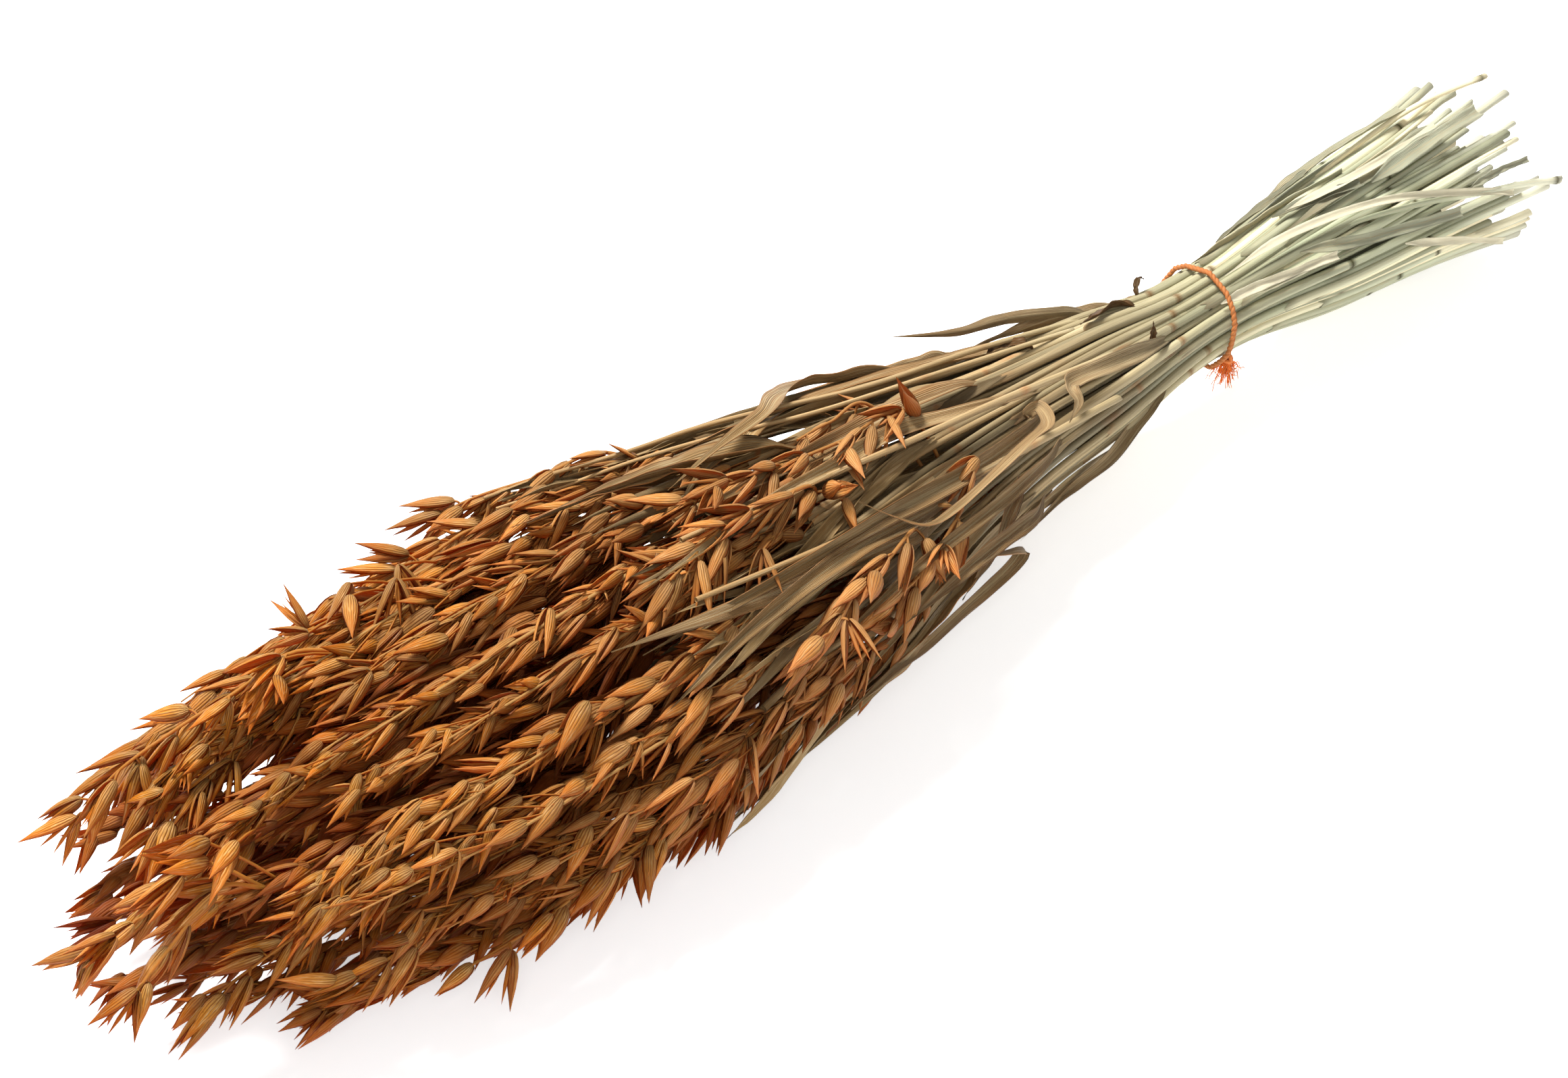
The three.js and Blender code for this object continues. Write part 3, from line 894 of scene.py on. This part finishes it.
def blade_on(mesh, stalk, start, length, width, drift, lift, curl, tone):
    """A leaf blade that leaves its stalk at x = start, runs towards the head and drifts round the bundle."""
    t = np.linspace(0, 1, 22)
    x = start - length * t
    near = stalk.at(np.maximum(x, stalk.tip + 5))
    near[:, 0] = x
    distance, side = polar(near)
    ease = t**2 * (3 - 2 * t)
    side = side + drift * ease
    rim = surface(x, side)
    share = distance / np.maximum(rim, 4)
    target = np.where(share[0] > 0.62, rim + lift, distance + 2)
    distance = (distance + 1.6) * (1 - ease) + target * ease
    path, out = from_polar(x, distance, side)
    path += out * (curl * np.clip(t - 0.6, 0, 1) ** 2 * 40)[:, None]
    path[:, 2] = np.maximum(path[:, 2], 1.0)
    start_roll, end_roll = rng.normal(0, 0.5), rng.normal(0, 1.3)
    roll = start_roll + (end_roll - start_roll) * ease
    cup, fold = rng.uniform(-0.35, 0.5), rng.uniform(0, 0.7)
    add_strip(mesh, path, out, roll, width, cup, blade_profile(t), fold=fold, tone=tone, leaf=1.0)


def make_stalk(stalk):
    """The straw of one stalk from its cut end to its head, with its nodes, sheaths and blades."""
    mesh = Mesher(STRAW_VALUES)
    start, end = stalk.cut + rng.uniform(-5, 5), stalk.neck - 4
    knots = start - rng.uniform(25, 100) - np.arange(4) * rng.uniform(105, 150)
    knots = knots[knots > end + 20]
    rings = np.concatenate([knot + NODE_ROWS for knot in knots])
    x = np.unique(np.concatenate([np.linspace(start, end, 36), rings]))[::-1]
    tone = rng.uniform(0, 1)
    add_culm(mesh, stalk.at(x), stalk.straw_radius(x), knots, tone)
    for knot in knots:
        length = min(rng.uniform(60, 105), knot - end)
        places = np.linspace(knot - 2, knot - length, 12)
        shade = np.clip(tone + rng.uniform(-0.3, 0.3), 0, 1)
        add_sheath(mesh, stalk.at(places), stalk.straw_radius(places), shade)
    blades = BLADES_PER_STALK[stalk.layer]
    roots = np.sort(rng.uniform(-70, 72, blades))[::-1]
    for root in roots:
        length = min(rng.uniform(80, 180), root - BLADE_END)
        width, drift, lift = rng.uniform(4, 8), rng.normal(0, 0.25), rng.uniform(-0.5, 1.5)
        curl, shade = rng.uniform(-0.3, 0.3), rng.uniform(0, 1)
        blade_on(mesh, stalk, root, length, width, drift, lift, curl, shade)
    piece = mesh.build(stalk.name + "_straw", STRAW)
    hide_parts(stalk.name)


for stalk in stalks:
    make_stalk(stalk)
    make_panicle(stalk)


# Thin straws placed one by one, off the upper side and in the fan of cut ends: a route and the radius.
TOP_STRAWS = (
    (((110, 20, 60), (50, 20, 74), (-16, 20, 87), (-41, 24, 91), (-69, 32, 92), (-98, 38, 92), (-124, 47, 90),
      (-145, 54, 87)), 1.2),
    (((90, 14, 66), (20, 12, 82), (-40, 16, 91), (-73, 26, 92), (-101, 33, 92), (-124, 38, 91),
      (-147, 44, 90)), 1.0),
    (((80, -20, 60), (20, -28, 70), (-40, -36, 82), (-90, -40, 92), (-130, -40, 98)), 1.5),
    (((331, -20, 44), (313, -16, 48), (292, -12, 51), (262, -6, 56), (220, 2, 58), (180, 4, 54)), 1.5),
    (((326, 21, 75), (300, 27, 72), (240, 30, 60), (190, 24, 54)), 1.3),
    (((90, -6, 66), (30, -12, 80), (-30, -18, 92), (-80, -20, 100), (-120, -20, 104)), 1.5),
)


def make_loose_straws():
    """Straws that have lost their heads, caught between the stalks of the two outer layers, and TOP_STRAWS."""
    mesh = Mesher(STRAW_VALUES)
    rows = 44
    for layer, number in (("outer", 42), ("middle", 15)):
        ring = [stalk for stalk in stalks if stalk.layer == layer]
        ring.sort(key=lambda stalk: polar(stalk.at(waist[0])[None])[1][0])
        for k in range(number):
            one, two = ring[k % len(ring)], ring[(k + 1) % len(ring)]
            start = rng.uniform(285, 325)
            end = rng.uniform(-130, -40)
            x = np.linspace(start, end, rows)
            cross = rng.uniform(-0.45, 0.45) * np.clip((x - waist[0]) / 150, -1, 1)
            share = 0.5 + rng.uniform(-0.1, 0.1) + cross
            path = one.at(x) * (1 - share[:, None]) + two.at(x) * share[:, None]
            distance, side = polar(path)
            squeeze = np.exp(-(((x - waist[0]) / 60) ** 2))
            path, _ = from_polar(x, distance - 1.2 * squeeze, side)
            knots = start - rng.uniform(20, 120) - np.arange(3) * 130.0
            radius = np.full(rows, rng.uniform(1.0, 1.5))
            add_culm(mesh, path, radius, knots, rng.uniform(0, 1), sides=8)
    for route, radius in TOP_STRAWS:
        route = np.array(route, float)
        start, end = route[0, 0], route[-1, 0]
        x = np.linspace(start, end, 60)
        path = np.stack([x] + [smooth(route[::-1, 0], route[::-1, k], x) for k in (1, 2)], 1)
        among_cut_ends = start > 200
        knot = start - 3 if among_cut_ends else rng.uniform(10, 60)
        radii = np.linspace(radius, radius * 0.6, len(x))
        add_culm(mesh, path, radii, [knot], rng.uniform(0.6, 1), sides=7)
    piece = mesh.build("loose_straws", STRAW)
    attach(piece, "root")


make_loose_straws()


# ---- leaves

LEAF_VALUES = ("along", "across", "tone", "tint")
TWIST = {"leaf_03": 50, "leaf_04": 70, "leaf_07": 30}  # degrees that a blade turns on its way to the tip
SINK = {"leaf_04": 4.0}  # how far a blade is pressed into the bundle


def make_node_blade(name):
    """The blade that takes the place of one CAD leaf, along the middle of its solid and as wide."""
    sections = [points for x, points in rings_of(name)[::-1]]
    middles = np.array([section.mean(0) for section in sections])
    root = middles[0] + 0.8 * (middles[0] - middles[1])
    middles = np.concatenate([[root + (axis_at(root[0]) - root) * 0.25], middles])
    middles[1] += (axis_at(middles[1][0]) - middles[1]) * 0.12
    width = max(np.linalg.norm(section - section.mean(0), axis=1).max() for section in sections) * 1.5
    path, t = route_path(middles, 44)
    out = outward_of(path)
    path = path - out * (SINK.get(name, 0) * np.exp(-(((t - 0.2) / 0.22) ** 2)))[:, None]
    twist = TWIST.get(name, 0) * np.clip(t / 0.45, 0, 1)
    roll = np.radians(twist + smooth([0, 0.4, 0.7, 1], rng.uniform(-30, 30, 4), t))
    cup, fold = rng.uniform(-0.3, 0.4), rng.uniform(0, 0.5)
    tone, tint = rng.uniform(0.2, 1), rng.uniform(0, 0.5)
    mesh = Mesher(LEAF_VALUES)
    add_strip(mesh, path, out, roll, width, cup, blade_profile(t), fold=fold, tone=tone, tint=tint)
    piece = mesh.build(name + "_blade", LEAF)
    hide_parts(name)


for name in sorted(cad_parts):
    if name.startswith("leaf_"):
        make_node_blade(name)


# Loose blades on the outside: a route, the width, how brown it is, how light it is, and its roll in degrees.
LOOSE_BLADES = (
    # a narrow curled blade that loops over and ends in a dark hook
    (((56, -10, 69), (36, -17, 73), (38, -21, 78), (34, -30, 78), (24, -32, 77), (2, -37, 76), (-21, -42, 76),
      (-36, -45, 80), (-48, -41, 88), (-58, -35, 96)), 5, 0.0, 0.75, (0, 20, 60, 80, 60, 20)),
    # a strip that ends in a short curl hanging off its sheath
    (((130, -4, 56), (96, -10, 65), (66, -12, 71), (58, -17, 74), (56, -23, 72), (50, -25, 67)), 7, 0.2, 0.8,
     (0, 10, 10, 40)),
    # long blades that hang off the lower side
    (((124, -6, 42), (112, -10, 39), (98, -14, 36), (78, -20, 33), (61, -22, 32), (46, -25, 32),
      (22, -32, 32)), 5.5, 0.3, 0.8, (60, 70, 60, 70)),
    (((-7, -37, 40), (8, -36, 36), (22, -33, 29), (15, -35, 26), (2, -36, 23), (-13, -39, 23), (-37, -48, 29),
      (-60, -58, 39), (-74, -63, 42), (-86, -65, 41)), 5.5, 0.2, 0.5, (40, 60, 60, 60, 70)),
    (((24, -32, 60), (12, -36, 55), (3, -40, 48), (-4, -40, 40), (-10, -37, 26)), 5.5, 0.6, -0.1, (20, 10, 20)),
    # a thin tip that stands off the far upper side
    (((112, 23, 60), (96, 25, 65), (76, 29, 70), (64, 30, 73), (49, 30, 76), (34, 31, 81), (16, 34, 87)), 4.5,
     0.2, 0.4, (80, 86, 90)),
    # a blade that folds over at the far edge and comes down across the heads, and a long one beside it
    (((22, 33, 76), (-2, 34, 79), (-20, 37, 83), (-38, 29, 92), (-55, 17, 99), (-83, 8, 104),
      (-110, -1, 107)), 9, 0.0, 0.45, (30, 0, -10, 0, 10)),
    (((59, -7, 70), (11, -12, 84), (-21, -11, 91), (-54, -18, 98), (-81, -21, 101), (-118, -28, 104),
      (-144, -31, 104)), 6, 0.0, 0.8, (0, 10, -20, 0, 20)),
    # blades over the middle, towards the heads
    (((60, -12, 64), (10, -28, 74), (-50, -38, 86), (-104, -44, 92), (-156, -46, 94)), 7,
     0.2, 0.5, (10, 0, -20, 10)),
    (((-10, -34, 72), (-60, -42, 84), (-112, -52, 88), (-158, -62, 84)), 7, 0.3, 0.4, (0, 20, 10, 30)),
    (((40, 6, 76), (-10, -2, 90), (-62, -10, 100), (-110, -14, 106)), 8, 0.5, 0.6, (0, 10, -30, 0)),
    (((56, -22, 56), (4, -40, 66), (-46, -52, 72), (-90, -62, 72)), 5, 0.2, 0.6, (0, 20, 30, 10)),
    (((100, 14, 60), (50, 22, 70), (0, 26, 80), (-50, 24, 91), (-86, 22, 97)), 7, 0.3, 0.7, (0, -20, 0, 20)),
    (((30, -40, 52), (-16, -52, 60), (-60, -62, 62)), 6, 0.4, 0.3, (10, 30, 20, 40)),
    (((-50, 6, 94), (-86, 11, 100), (-116, 16, 102), (-152, 19, 103)), 11, 0.0, 0.1, (0, 10, 20, 10)),
    # the far side and the underside
    (((90, 36, 40), (30, 54, 44), (-30, 68, 50), (-80, 76, 52)), 9, 0.4, 0.5, (0, 20, 40, 0)),
    (((70, 28, 60), (10, 38, 68), (-50, 48, 74), (-110, 56, 76)), 8, 0.3, 0.5, (0, 20, -30, 0)),
    (((60, 10, 24), (24, 9, 16), (-16, 7, 9), (-64, 4, 5), (-112, 0, 4)), 8, 0.3, 0.4, (0, 10, 0, 10)),
    # dark scraps between the straws near the tie
    (((112, -4, 58), (114, -3, 62), (116, -1, 66)), 3, 1.0, -0.3, (0, 20)),
    (((131, 22, 58), (133, 24, 60), (136, 26, 61), (139, 26, 59)), 2.6, 1.0, -0.4, (0, 40)),
    (((125, 13, 61), (115, 18, 63), (101, 14, 67), (91, 12, 69)), 5, 1.0, -0.3, (0, 30, 10)),
    (((69, 14, 71), (63, 17, 71), (56, 20, 71), (45, 14, 74)), 5, 1.0, -0.3, (20, -20, 0)),
)


# Strips of sheath among the cut ends: a route, the width, how brown (or cream below 0) and how light.
CUT_STRIPS = (
    (((162, 6, 61), (193, 6, 64), (227, 2, 64), (256, -4, 61), (292, -13, 52), (306, -16, 47)), 3.6, -1.0, 0.9),
    (((153, -1, 56), (170, -3, 57), (192, -6, 57), (210, -8, 56)), 4, -1.0, 0.9),
    (((205, 16, 66), (235, 13, 68), (262, 13, 69), (288, 13, 71)), 4, -1.0, 0.9),
    (((246, -12, 47), (275, -16, 38), (304, -17, 25)), 3.5, -1.0, 0.9),
    (((205, 28, 62), (246, 32, 66), (288, 31, 70)), 6, 0.5, 0.7),
    (((178, 26, 58), (206, 27, 63), (232, 29, 66)), 4.5, 0.1, 0.1),
    (((200, 18, 64), (222, 14, 66), (240, 9, 67)), 5, 0.0, 0.0),
    (((245, 8, 66), (280, 9, 70), (308, 9, 72)), 7, 0.0, 0.45),
    (((285, -10, 55), (301, -11, 57), (316, -13, 57)), 3, 0.0, 0.6),
    (((196, -1, 60), (231, -9, 56), (276, -14, 50)), 5, 0.0, 0.7),
)


def make_loose_blades():
    """The blades of LOOSE_BLADES, blunt strips at random round the cut ends, and the strips of CUT_STRIPS."""
    mesh = Mesher(LEAF_VALUES)
    for route, width, tint, tone, rolls in LOOSE_BLADES:
        path, t = route_path(route, 42)
        out = outward_of(path)
        roll = np.radians(smooth(np.linspace(0, 1, len(rolls)), rolls, t))
        path = path - out * (5 * np.exp(-((t / 0.08) ** 2)))[:, None]
        add_strip(mesh, path, out, roll, width, 0.35, blade_profile(t), fold=0.3, tone=tone, tint=tint)
    t = np.linspace(0, 1, 24)
    for k in range(8):
        side = rng.uniform(0, 2 * np.pi)
        start = rng.uniform(215, 300)
        x = np.linspace(waist[0] + rng.uniform(4, 30), start + 20, len(t))
        turn = side + rng.normal(0, 0.15) * t
        path, out = from_polar(x, surface(x, turn) * rng.uniform(0.7, 1.0) + 0.4, turn)
        path[:, 2] = np.maximum(path[:, 2], 1.0)
        roll = rng.normal(0, 0.4) + rng.normal(0, 0.6) * t
        width, cup = rng.uniform(3, 5.5), rng.uniform(0, 0.8)
        tone, tint = rng.uniform(0.5, 1), rng.uniform(-0.5, 0.15)
        add_strip(mesh, path, out, roll, width, cup, blade_profile(t, blunt=0.75), tone=tone, tint=tint)
    for route, width, tint, tone in CUT_STRIPS:
        path, t = route_path(route, 30)
        roll = 0.15 * np.sin(t * 7 + width)
        profile = blade_profile(t, blunt=0.85)
        add_strip(mesh, path, outward_of(path), roll, width, 0.4, profile, fold=0.2, tone=tone, tint=tint)
    piece = mesh.build("loose_blades", LEAF)
    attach(piece, "root")


make_loose_blades()


# ---- tie

TIE_VALUES = ("along", "across", "tone")
CORD = 1.1  # how far the line of the twine lies off the straws
SOLID_CORD = 2.4  # the thickness of the CAD ring
LEAN = math.atan2(tie_high[0] - tie_low[0] - SOLID_CORD, tie_high[1] - tie_low[1] - SOLID_CORD)


def tie_path(turns):
    """The taut line of the tie: the straws' hull at the waist, pushed out by CORD and a sheath's thickness."""
    probe = np.linspace(0, 2 * np.pi, 180, endpoint=False)
    out = np.stack([np.cos(probe), np.sin(probe)], 1)
    edge = np.zeros(len(probe))
    for stalk in stalks:
        place = stalk.at(waist[0])[1:] - waist[1:]
        edge = np.maximum(edge, out @ place + float(stalk.radius(waist[0])) + 0.35 + CORD)
    gap = np.cos(turns[:, None] - probe[None])
    reach = np.where(gap > 0.3, edge[None] / np.maximum(gap, 0.3), np.inf).min(1)
    across, up = np.cos(turns) * reach, np.sin(turns) * reach
    return waist + np.stack([up * math.tan(LEAN), across, up], 1)


def make_tie():
    """The twine: two strands twisted round the line of the tie."""
    mesh = Mesher(TIE_VALUES)
    steps, twists = 300, 30
    strand_radius, strand_offset = 0.85, 0.28
    turns = np.append(np.linspace(0, 2 * np.pi, steps, endpoint=False), 2 * np.pi)
    line = tie_path(turns % (2 * np.pi))
    normal = unit(line - waist)
    tangent = unit(np.gradient(line, axis=0))
    tangent[0] = tangent[-1] = unit(tangent[1] + tangent[-2])
    axis = np.cross(tangent, normal)
    angle = round_angles(8)
    along, across = (turns / (2 * np.pi))[None, :, None], (angle / np.pi - 1)[None, None]
    for strand in range(2):
        twist = twists * turns + strand * np.pi
        path = line + (np.cos(twist)[:, None] * normal + np.sin(twist)[:, None] * axis) * strand_offset
        ring = ring_grid(path, normal, axis, strand_radius, angle)
        mesh.add(ring, along=along, across=across, tone=0.05 * strand)
    piece = mesh.build("tie_cord_twine", TIE)
    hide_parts("tie_cord")


def make_knot():
    """A small overhand knot on the tie, with short ends frayed into crimped fibres."""
    mesh = Mesher(TIE_VALUES)
    low, high = (np.array(corner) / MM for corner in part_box("tie_knot"))
    middle = (low + high) / 2
    side = math.atan2(middle[2] - waist[2], middle[1] - waist[1])
    seat = tie_path(np.array([side]))[0] + [3.0, 0, 0]
    outward = unit(seat - waist)
    along_x = np.array([1.0, 0.0, 0.0])
    down = np.cross(along_x, outward)
    if down[2] > 0:
        down = -down
    t = np.linspace(0, 2 * np.pi, 40)
    for turn, lean in ((0.2, 0.5), (1.5, -0.6)):
        sway = along_x * math.cos(turn) + down * math.sin(turn)
        loop = seat + outward * (0.9 + 1.3 * np.cos(t))[:, None] + sway * (2.0 * np.sin(t))[:, None]
        loop = loop + down * (lean * np.sin(2 * t))[:, None]
        mesh.add(tube_grid(loop, 0.8, 7), along=0.2, tone=0.35)
    fibres = 90
    u = np.linspace(0, 1, 16)
    for k in range(fibres):
        heading = down * rng.uniform(0.2, 1.0) + outward * rng.uniform(-0.1, 0.9)
        heading += along_x * rng.normal(0, 0.55)
        root = seat + outward * 1.0 + down * rng.uniform(0, 3) + rng.normal(0, 0.6, 3)
        reach, wave, phase = rng.uniform(3, 9), rng.uniform(0.5, 1.1), rng.uniform(0, 6)
        crimp = np.stack([np.sin(u * 13 + phase), np.cos(u * 11 + phase), np.sin(u * 9 + 2 * phase)], 1) * wave
        path = root + unit(heading) * (u * reach)[:, None] + crimp * np.sqrt(u)[:, None]
        path[:, 2] -= 2.0 * u**2
        mesh.add(tube_grid(path, np.linspace(0.26, 0.12, len(u)), 4), along=0.5, tone=rng.uniform(0.5, 1))
    piece = mesh.build("tie_knot_tuft", TIE)
    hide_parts("tie_knot")


make_tie()
make_knot()


# ---- floor, light, camera

def make_floor():
    """A plain pale floor."""
    bpy.ops.mesh.primitive_plane_add(size=24.0, location=(0, 0, 0))
    floor = bpy.context.object
    floor.name = "floor"
    s = Shader("floor")
    s.surface.inputs["Emission Color"].default_value = (1, 1, 1, 1)
    s.surface.inputs["Emission Strength"].default_value = 0.55
    floor.data.materials.append(s.finish((0.9, 0.9, 0.9, 1.0), 0.8, specular=0.1))


def aim(direction):
    """The turn that points a lamp or a camera along a direction."""
    return Vector(direction).to_track_quat("-Z", "Y").to_euler()


def add_area(name, location, size, power):
    """A round soft lamp that points at the origin."""
    data = bpy.data.lights.new(name, "AREA")
    data.shape = "DISK"
    data.size = size
    data.energy = power
    lamp = bpy.data.objects.new(name, data)
    lamp.location = location
    lamp.rotation_euler = aim(-np.array(location))
    bpy.context.scene.collection.objects.link(lamp)


def make_light():
    world = bpy.data.worlds.new("studio")
    world.use_nodes = True
    sky = world.node_tree.nodes["Background"].inputs
    sky["Color"].default_value = (1, 1, 1, 1)
    sky["Strength"].default_value = 0.34
    bpy.context.scene.world = world
    add_area("key", (-0.2, 0.6, 1.5), 0.6, 60)
    add_area("front", (-0.8, -1.1, 1.2), 0.9, 10)


def make_camera():
    """The photo's viewpoint."""
    data = bpy.data.cameras.new("camera")
    data.lens = CAMERA["lens"]
    data.sensor_width = CAMERA["sensor"]
    camera = bpy.data.objects.new("camera", data)
    azimuth, elevation = math.radians(CAMERA["azimuth"]), math.radians(CAMERA["elevation"])
    level = math.cos(elevation)
    back = np.array([math.sin(azimuth) * level, -math.cos(azimuth) * level, math.sin(elevation)])
    camera.location = (np.array(CAMERA["target"]) + back * CAMERA["distance"]) * MM
    camera.rotation_euler = aim(-back)
    bpy.context.scene.collection.objects.link(camera)
    bpy.context.scene.camera = camera


make_floor()
make_light()
make_camera()
bpy.context.scene.view_settings.view_transform = "Standard"
